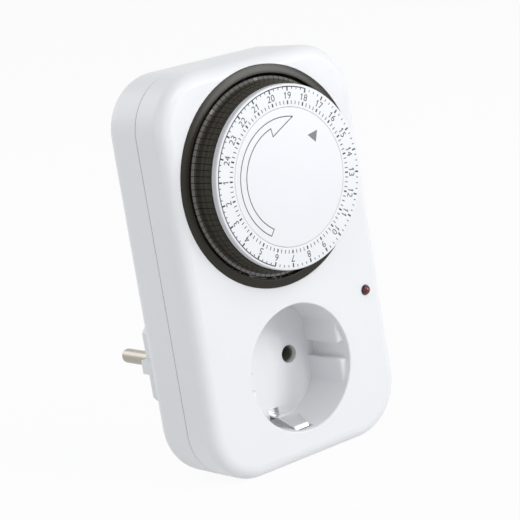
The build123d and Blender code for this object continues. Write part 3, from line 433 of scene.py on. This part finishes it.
def turned(profile, x, z, steps=180):
    """A closed shape turned about an axis along Y. The profile runs round in (radius, depth), in mm."""
    mesh = bmesh.new()
    ring = [mesh.verts.new((radius * mm, front_y + depth * mm, 0.0)) for radius, depth in profile]
    edges = [mesh.edges.new(pair) for pair in zip(ring, ring[1:])]
    if profile[0][0] > 0:
        edges.append(mesh.edges.new((ring[-1], ring[0])))
    bmesh.ops.spin(mesh, geom=ring + edges, cent=(0, 0, 0), axis=(0, 1, 0), angle=2 * pi, steps=steps,
                   use_merge=True)
    bmesh.ops.remove_doubles(mesh, verts=mesh.verts, dist=0.001 * mm)
    bmesh.ops.recalc_face_normals(mesh, faces=mesh.faces)
    bmesh.ops.translate(mesh, verts=mesh.verts, vec=(x, 0.0, z))
    return mesh


def arc(centre, radius, first, last, steps=6):
    """Points of a rounded edge of a profile: centre in (radius, depth), angles in degrees from +radius."""
    turns = [radians(first + (last - first) * step / steps) for step in range(steps + 1)]
    return [(centre[0] + radius * cos(way), centre[1] + radius * sin(way)) for way in turns]


rim_centre = (collar_bore_r + collar_rim_r, collar_crest + collar_rim_r)
collar_profile = [(collar_bore_r, collar_back)]
collar_profile += arc(rim_centre, collar_rim_r, 180, 262)
collar_profile += [(collar_r - inward, collar_foot + back) for inward, back in flange_edge]
collar_profile += [(collar_r, flange_back), (collar_sleeve_r, flange_back), (collar_sleeve_r, collar_back)]
put("collar", turned(collar_profile, 0.0, dial_z), dial_black, "housing", "dial_black", "dial_collar")


# ---- drum and push segments --------------------------------------------------------------------------
# Ninety-six stepped fingers of dark plastic, one for each quarter of an hour, stand in the drum's slots
# and are pushed in to set a time. They widen outwards to an even gap, their moulded edges are a little
# rounded, and the shoulder of the step is polished.
midnight_angle = 156.0
segment_pitch = 3.75
finger_inner_r = 27.2
finger_side = 0.65
segment_gap = 0.16
segment_edge_r = 0.06
sharp_angle = 40.0
shoulder_inner_r = 29.45
shoulder_outer_r = 30.2

segment_black = Finish("segment_black")
shade = segment_black.grain(3 * mm, 2.0)
across, _, above = segment_black.axes()
out = across * across + (above - dial_z) * (above - dial_z)
polished = (out > (shoulder_inner_r * mm) ** 2) * (out < (shoulder_outer_r * mm) ** 2)
segment_black.surface(
    Base_Color=segment_black.blend(shade, (0.032, 0.028, 0.0205, 1), (0.046, 0.041, 0.031, 1)),
    Roughness=0.30 + shade * 0.12, Specular_IOR_Level=0.20,
    Coat_Weight=polished, Coat_Roughness=0.08, Coat_IOR=1.8)


def copied(name):
    """A copy of a CAD node's mesh, with its flat faces whole."""
    mesh = bmesh.new()
    mesh.from_mesh(nodes[name].data)
    bmesh.ops.remove_doubles(mesh, verts=mesh.verts, dist=0.002 * mm)
    bmesh.ops.dissolve_limit(mesh, angle_limit=radians(0.5), verts=mesh.verts, edges=mesh.edges)
    return mesh


def wedged(mesh):
    """Widens the fingers outwards, so that the gap between two of them is the same all along."""
    for vert in mesh.verts:
        height = vert.co.z - dial_z
        reach = hypot(vert.co.x, height)
        turn = degrees(atan2(height, vert.co.x)) - midnight_angle
        from_middle = (turn + 360.0) % segment_pitch - segment_pitch / 2
        aside = reach * sin(radians(from_middle))
        if abs(aside) > finger_side * mm and reach > finger_inner_r * mm:
            wanted = reach * sin(radians(segment_pitch / 2)) - segment_gap / 2 * mm
            more = (wanted - abs(aside)) * (1 if aside > 0 else -1)
            way = radians(turn + midnight_angle)
            vert.co += more * Vector((-sin(way), 0.0, cos(way)))
    return mesh


def softened(mesh, radius):
    """Rounds off a mesh's sharp edges."""
    sharp = [edge for edge in mesh.edges
             if edge.is_manifold and edge.calc_face_angle() > radians(sharp_angle)]
    bmesh.ops.bevel(mesh, geom=sharp, offset=radius * mm, offset_type="OFFSET", segments=2, profile=0.5,
                    affect="EDGES", material=-1, clamp_overlap=True)
    return mesh


for part_of_day in ("night", "morning", "afternoon", "evening"):
    group = "segments_" + part_of_day
    fingers = softened(wedged(copied(group)), segment_edge_r)
    put("push_" + group, fingers, segment_black, group, "segment_black", group, smooth=20.0)
paint(dial_black, "dial_wheel")


# ---- scale ring --------------------------------------------------------------------------------------
# A white plastic ring with a rounded rim, pressed on the drum and turning with it. It is printed in black
# with the hours, two rows of quarter-hour ticks and a thin line along half of its edge.
scale_low, scale_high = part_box("scale_ring")
scale_r = (scale_high.x - scale_low.x) / 2 / mm
scale_inner_r = 20.95
scale_rise = (front_y - scale_low.y) / mm
scale_back = (scale_high.y - front_y) / mm
scale_lip = -8.0
scale_lip_r = 24.0
scale_rim_r = 0.55
scale_chamfer = 0.06
# The ring's outer side is painted a darker grey: painted shade on that side, not a colour of the plastic.
shaded_side_share = 0.985
side_shade_tint = 0.75

scale_white = Finish("scale_white")
weave = scale_white.grain(0.35 * mm, 2.0)
tone = scale_white.grain(12 * mm)
across, _, above = scale_white.axes()
out = (across * across + (above - dial_z) * (above - dial_z)) / (scale_r * mm) ** 2
printed_white = scale_white.blend(tone, (0.79, 0.80, 0.82, 1), (0.82, 0.83, 0.85, 1))
# Base colour: printed white on the face, and painted shade on the outer side.
scale_white.surface(
    Base_Color=scale_white.blend((out > shaded_side_share) * side_shade_tint, printed_white, (0.54, 0.545, 0.565, 1)),
    Roughness=0.40 + weave * 0.08, Normal=scale_white.bump(weave, 0.006 * mm, 0.5))

scale_profile = [(scale_inner_r, scale_lip), (scale_inner_r, scale_chamfer - scale_rise),
                 (scale_inner_r + scale_chamfer, -scale_rise)]
scale_profile += arc((scale_r - scale_rim_r, scale_rim_r - scale_rise), scale_rim_r, -90, 0, 8)
scale_profile += [(scale_r, scale_back), (scale_lip_r, scale_back), (scale_lip_r, scale_lip)]
put("scale", turned(scale_profile, 0.0, dial_z), scale_white, "dial", "scale_white", "scale_ring")

ink = Finish("ink")
speck = ink.grain(0.12 * mm, 1.0)
ink.surface(Base_Color=ink.blend(speck, (0.018, 0.018, 0.020, 1), (0.040, 0.040, 0.044, 1)),
            Roughness=0.50 + speck * 0.12)

# Printed marks stand a little proud and go a little into the plastic, so that no gap shows under them.
ink_proud = 0.012
ink_sunk = 0.03
ink_thickness = ink_proud + ink_sunk
ink_middle = (ink_proud - ink_sunk) / 2
quarters = 96
hours = 24
bold_tick = (0.50, 1.25)
fine_tick = (0.26, 0.75)
outer_tick_end_r = 26.95
inner_tick_r = 22.25
inner_tick_length = 1.1
edge_line_span = (66.0, 246.0)
edge_line_width = 0.32
figure_r = 24.2
figure_size = 2.95
digit_step = 1.5
flag_out = 0.72
flag_aside = 0.24
flag_width = 0.24
flag_length = 0.62
flag_tilt = 45.0


def face_place(x, z, turn, rise):
    """Place on the dial's face, in mm: local X runs along it, Y outwards at turn 0, and Z to the viewer."""
    way = radians(turn)
    outward = Vector((cos(way), 0.0, sin(way)))
    along = Vector((sin(way), 0.0, -cos(way)))
    axes = Matrix((along, outward, Vector((0.0, -1.0, 0.0)))).transposed().to_4x4()
    return Matrix.Translation((x * mm, front_y - rise * mm, dial_z + z * mm)) @ axes


def print_bar(mesh, x, z, turn, rise, width, length):
    """Adds a printed bar whose middle is at x and z from the dial's centre."""
    made = bmesh.ops.create_cube(mesh, size=1.0)["verts"]
    bmesh.ops.scale(mesh, verts=made, vec=(width * mm, length * mm, ink_thickness * mm))
    bmesh.ops.translate(mesh, verts=made, vec=(0.0, 0.0, ink_middle * mm))
    bmesh.ops.transform(mesh, verts=made, matrix=face_place(x, z, turn, rise))


def print_arc(mesh, x, z, radius, first, last, rise, width):
    """Adds a printed arc about a centre at x and z from the dial's centre."""
    way = radians(first)
    place = face_place(x + radius * cos(way), z + radius * sin(way), first, rise)
    corners = [(0.0, side * width * mm / 2, (ink_middle + level * ink_thickness / 2) * mm)
               for side, level in ((-1, -1), (1, -1), (1, 1), (-1, 1))]
    section = [mesh.verts.new(place @ Vector(corner)) for corner in corners]
    start = mesh.faces.new(section)
    centre = (x * mm, 0.0, dial_z + z * mm)
    bmesh.ops.spin(mesh, geom=section + list(start.edges) + [start], cent=centre, axis=(0, -1, 0),
                   angle=radians(last - first), steps=max(2, int(abs(last - first) / 2)))


marks = bmesh.new()
for quarter in range(quarters):
    angle = midnight_angle + quarter * segment_pitch
    way = radians(angle)
    tick_width, tick_length = fine_tick if quarter % 4 else bold_tick
    for tick_r, length in ((outer_tick_end_r - tick_length / 2, tick_length),
                           (inner_tick_r, inner_tick_length)):
        print_bar(marks, tick_r * cos(way), tick_r * sin(way), angle, scale_rise, tick_width, length)
print_arc(marks, 0.0, 0.0, outer_tick_end_r, *edge_line_span, scale_rise, edge_line_width)
bmesh.ops.recalc_face_normals(marks, faces=marks.faces)

# Each digit is set by itself, at the printed step, and a 1 gets the flag that the typeface lacks.
for hour in range(1, hours + 1):
    angle = midnight_angle + hour * 4 * segment_pitch
    way = radians(angle)
    outward = Vector((cos(way), sin(way)))
    along = Vector((sin(way), -cos(way)))
    for column, digit in enumerate(str(hour)):
        text = bpy.data.curves.new("figure", "FONT")
        text.body = digit
        text.size = figure_size * mm
        text.extrude = ink_thickness / 2 * mm
        text.align_x = "CENTER"
        text.align_y = "CENTER"
        text.resolution_u = 4
        holder = bpy.data.objects.new("figure", text)
        scene.collection.objects.link(holder)
        bpy.context.view_layer.update()
        filled = holder.evaluated_get(bpy.context.evaluated_depsgraph_get())
        flat = bpy.data.meshes.new_from_object(filled)
        bpy.data.objects.remove(holder)
        place = outward * figure_r + along * digit_step * (column - (len(str(hour)) - 1) / 2)
        flat.transform(Matrix.Translation((0.0, 0.0, ink_middle * mm)))
        flat.transform(face_place(place.x, place.y, angle, scale_rise))
        marks.from_mesh(flat)
        if digit == "1":
            flag = place + outward * flag_out - along * flag_aside
            print_bar(marks, flag.x, flag.y, angle - flag_tilt, scale_rise, flag_width, flag_length)
bmesh.ops.remove_doubles(marks, verts=marks.verts, dist=0.0005 * mm)
put("hour_scale_print", marks, ink, "dial", "dial_black", smooth=20.0)


# ---- centre disc -------------------------------------------------------------------------------------
# A white plastic disc inside the scale ring, fixed by the pin at its back while the dial turns. It is
# printed with a fine outline of the arrow that shows the dial's direction, and a grey time mark.
disc_low, disc_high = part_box("centre_disc")
disc_rise = (front_y - disc_low.y) / mm
disc_clearance = 0.11
disc_thickness = 1.2
disc_r = scale_inner_r - disc_clearance
disc_edge_r = 0.08
disc_back = disc_thickness - disc_rise
pin_r = 1.45
pin_back = (disc_high.y - front_y) / mm

disc_profile = arc((disc_r - disc_edge_r, disc_edge_r - disc_rise), disc_edge_r, 0, -90)
disc_profile += [(0.0, -disc_rise), (0.0, pin_back), (pin_r, pin_back), (pin_r, disc_back),
                 (disc_r, disc_back)]
put("centre_plate", turned(disc_profile, 0.0, dial_z), scale_white, "housing", "scale_white", "centre_disc")

line_width = 0.30
outer_line = (-0.437, -0.164, 18.37)
inner_line = (-0.239, -0.128, 16.26)
tail_angle = 236.9
tip_angle = 74.4
notch_angle = 104.5
barb = Vector((-3.98, 13.11))
mark_corners = ((9.15, 10.9), (13.1, 11.65), (11.85, 8.15))


def on_line(line, angle):
    """Point of one of the arrow's two arcs, each given by its centre and radius."""
    x, z, radius = line
    return Vector((x + radius * cos(radians(angle)), z + radius * sin(radians(angle))))


arrow = bmesh.new()
print_arc(arrow, *outer_line, tail_angle, tip_angle, disc_rise, line_width)
print_arc(arrow, *inner_line, tail_angle, notch_angle, disc_rise, line_width)
tip = on_line(outer_line, tip_angle)
for start, end in ((on_line(outer_line, tail_angle), on_line(inner_line, tail_angle)),
                   (on_line(inner_line, notch_angle), barb), (barb, tip)):
    centre = (start + end) / 2
    run = end - start
    heading = degrees(run.angle_signed(Vector((1.0, 0.0))))
    print_bar(arrow, centre.x, centre.y, heading, disc_rise, line_width, run.length + line_width)
bmesh.ops.recalc_face_normals(arrow, faces=arrow.faces)
fine_ink = Finish("fine_ink")
fade = fine_ink.grain(0.3 * mm, 1.0)
fine_ink.surface(Base_Color=fine_ink.blend(fade, (0.055, 0.055, 0.058, 1), (0.09, 0.09, 0.095, 1)),
                 Roughness=0.50 + fade * 0.1)
put("arrow_print", arrow, fine_ink, "housing", "dial_black", smooth=20.0)

mark_grey = Finish("mark_grey")
stipple = mark_grey.grain(0.25 * mm, 2.0)
mark_grey.surface(Base_Color=mark_grey.blend(stipple, (0.17, 0.175, 0.18, 1), (0.23, 0.235, 0.24, 1)),
                  Roughness=0.50 + stipple * 0.1)
mark = bmesh.new()
corners = [mark.verts.new((x * mm, front_y - (disc_rise - ink_sunk) * mm, dial_z + z * mm))
           for x, z in mark_corners]
made = bmesh.ops.extrude_face_region(mark, geom=[mark.faces.new(corners)])["geom"]
bmesh.ops.translate(mark, verts=[part for part in made if isinstance(part, bmesh.types.BMVert)],
                    vec=(0.0, -ink_thickness * mm, 0.0))
bmesh.ops.recalc_face_normals(mark, faces=mark.faces)
put("time_mark_print", mark, mark_grey, "housing", "dial_black", smooth=20.0)


# ---- socket's earth clips ----------------------------------------------------------------------------
# One bright nickel-plated strip behind the recess, riveted at its middle. Its ends come through the slots
# of the floor, spring inwards and widen into the tabs that touch a plug's earth contacts. Each bend of an
# arm is given by its depth, its distance from the socket's axis and the strip's half width there.
clip_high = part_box("earth_clips")[1]
clip_thickness = 0.6
clip_bend_r = 0.5
least_bend = 5.0
clip_back = (clip_high.y - front_y) / mm - clip_thickness
clip_hole_half = 1.19
hole_share = 0.7
clip_arm = [(4.9, 20.3, 2.6), (5.4, 19.3, 2.8), (11.1, 16.85, 3.4), (16.2, 17.6, 1.75),
            (clip_back, 17.6, 1.7), (clip_back, clip_hole_half, 1.7)]

spring_nickel = Finish("spring_nickel")
polish = spring_nickel.grain(0.5 * mm, 2.0, (8.0, 1.0, 1.0))
spring_nickel.surface(
    Base_Color=spring_nickel.blend(polish, (0.82, 0.825, 0.83, 1), (0.88, 0.885, 0.885, 1)),
    Metallic=0.6, Roughness=0.15 + polish * 0.08)

clip = bmesh.new()
# The line of bends grows into three columns of faces, and the middle one leaves out the rivet's hole.
bends = clip_arm + [(depth, -rise, half) for depth, rise, half in reversed(clip_arm)]
side_line = [clip.verts.new((-half * mm, front_y + depth * mm, socket_z + rise * mm))
             for depth, rise, half in bends]
edge_line = [clip.edges.new(pair) for pair in zip(side_line, side_line[1:])]
for ratio in (hole_share, -1.0, 1 / hole_share):
    grown = bmesh.ops.extrude_edge_only(clip, edges=edge_line)["geom"]
    bmesh.ops.scale(clip, verts=[part for part in grown if isinstance(part, bmesh.types.BMVert)],
                    vec=(ratio, 1.0, 1.0))
    edge_line = [part for part in grown if isinstance(part, bmesh.types.BMEdge)]
    edge_line = [edge for edge in edge_line if edge.verts[0].co.yz != edge.verts[1].co.yz]
rivet_place = Vector((0.0, front_y + clip_back * mm, socket_z))
hole = min(clip.faces, key=lambda face: (face.calc_center_median() - rivet_place).length)
bmesh.ops.delete(clip, geom=[hole], context="FACES")
creases = [edge for edge in clip.edges
           if edge.is_manifold and edge.calc_face_angle() > radians(least_bend)]
bmesh.ops.bevel(clip, geom=creases, offset=clip_bend_r * mm, offset_type="OFFSET", segments=4,
                profile=0.5, affect="EDGES", material=-1, clamp_overlap=True)
bmesh.ops.solidify(clip, geom=clip.faces[:], thickness=clip_thickness * mm)
bmesh.ops.recalc_face_normals(clip, faces=clip.faces)
put("earth_springs", clip, spring_nickel, "housing", "pin_nickel", "earth_clips")


# ---- indicator lens ----------------------------------------------------------------------------------
# A domed lens of deep red clear plastic, pressed into the front from inside. Its colour is painted darker
# towards its rim, as painted shade of the wall round it.
lens_low, lens_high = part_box("indicator_lens")
lens_x = (lens_low.x + lens_high.x) / 2
lens_z = (lens_low.z + lens_high.z) / 2
lens_r = 1.6
lens_rise = (front_y - lens_low.y) / mm
lens_back = (lens_high.y - front_y) / mm
lens_flange_r = (lens_high.x - lens_low.x) / 2 / mm
lens_flange_thickness = 0.9
lens_flange_near = lens_back - lens_flange_thickness

lens_red = Finish("lens_red")
across, _, above = lens_red.axes()
out_x = (across - lens_x) / (lens_r * mm)
out_z = (above - lens_z) / (lens_r * mm)
from_axis = out_x * out_x + out_z * out_z
swirl = lens_red.grain(0.8 * mm, 1.0)
# Painted shade: the red darkens towards the rim, with a little random swirl in it.
rim_shade_and_swirl = from_axis * 0.9 + swirl * 0.1
lens_red.surface(
    Base_Color=lens_red.blend(rim_shade_and_swirl, (0.16, 0.010, 0.010, 1), (0.022, 0.004, 0.005, 1)),
    Roughness=0.07 + swirl * 0.05)

dome_steps = 9
dome = [(lens_r * cos(pi / 2 * step / dome_steps), -lens_rise * sin(pi / 2 * step / dome_steps))
        for step in range(dome_steps)]
lens_profile = [(0.0, -lens_rise)] + dome[::-1]
lens_profile += [(lens_r, lens_flange_near), (lens_flange_r, lens_flange_near), (lens_flange_r, lens_back),
                 (0.0, lens_back)]
put("lamp_lens", turned(lens_profile, lens_x, lens_z, 64), lens_red, "housing", "lens_red",
    "indicator_lens", smooth=40.0)


# ---- override slide ----------------------------------------------------------------------------------
# A dark satin slide with a ribbed knob in the right side wall. Pushed up, it rocks the switch lever and
# keeps the socket on.
slide_edge_r = 0.15
slide_grey = Finish("slide_grey")
spark = slide_grey.grain(0.3 * mm, 2.0)
slide_grey.surface(
    Base_Color=slide_grey.blend(spark, (0.045, 0.045, 0.047, 1), (0.075, 0.075, 0.078, 1)),
    Roughness=0.42 + spark * 0.14, Normal=slide_grey.bump(spark, 0.02 * mm, 0.5))
slide = softened(copied("override_slide"), slide_edge_r)
put("slide_knob", slide, slide_grey, "override", "slide_grey", "override_slide")
